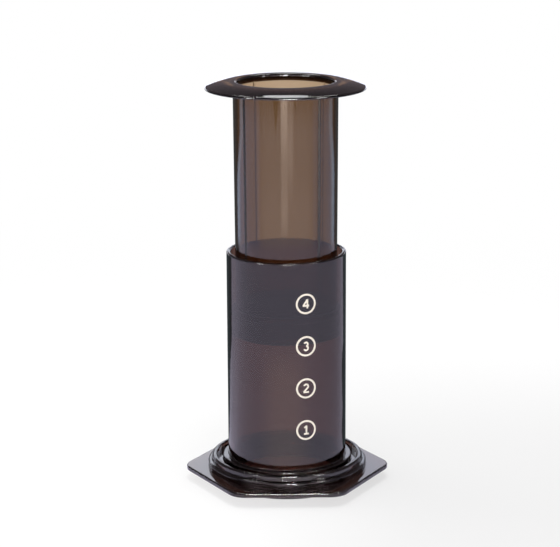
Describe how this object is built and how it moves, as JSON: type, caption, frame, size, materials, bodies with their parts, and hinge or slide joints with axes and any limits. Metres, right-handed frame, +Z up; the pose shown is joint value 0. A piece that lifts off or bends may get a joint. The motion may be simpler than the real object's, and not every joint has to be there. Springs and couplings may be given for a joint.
{
  "type": "manual coffee press",
  "caption": "Hand coffee press: see-through barrel on a six-sided foot plate, brimmed tube plunger with rubber seal, and a pierced twist-off filter cap.",
  "frame": {"origin": "on the press's axis, at the underside of the filter cap, where the press stands", "axes": "+Z up along the bore; -Y faces the printed scale; two flats of the foot plate face -Y and +Y"},
  "size_m": [0.1108, 0.099, 0.2215],
  "materials": {
    "smoked_plastic": "clear smoked brown-grey copolyester, polished",
    "smoked_plastic_plunger": "clear smoked brown copolyester, polished",
    "seal_rubber": "moulded thermoplastic rubber, satin",
    "black_plastic": "moulded black polypropylene, satin",
    "filter_paper": "plain filter paper"
  },
  "bodies": {
    "chamber": {"chamber": "smoked_plastic"},
    "plunger": {"plunger": "smoked_plastic_plunger", "plunger_seal": "seal_rubber"},
    "filter_cap": {"filter_cap": "black_plastic", "paper_filter": "filter_paper"}
  },
  "joints": [
    {"name": "plunger_slide", "type": "slide", "parent": "chamber", "child": "plunger", "axis": [0, 0, 1], "range_m": [-0.08, 0.05]},
    {"name": "cap_twist", "type": "hinge", "parent": "chamber", "child": "filter_cap", "pos_m": [0, 0, 0.008], "axis": [0, 0, -1], "range_deg": [0, 27]}
  ]
}
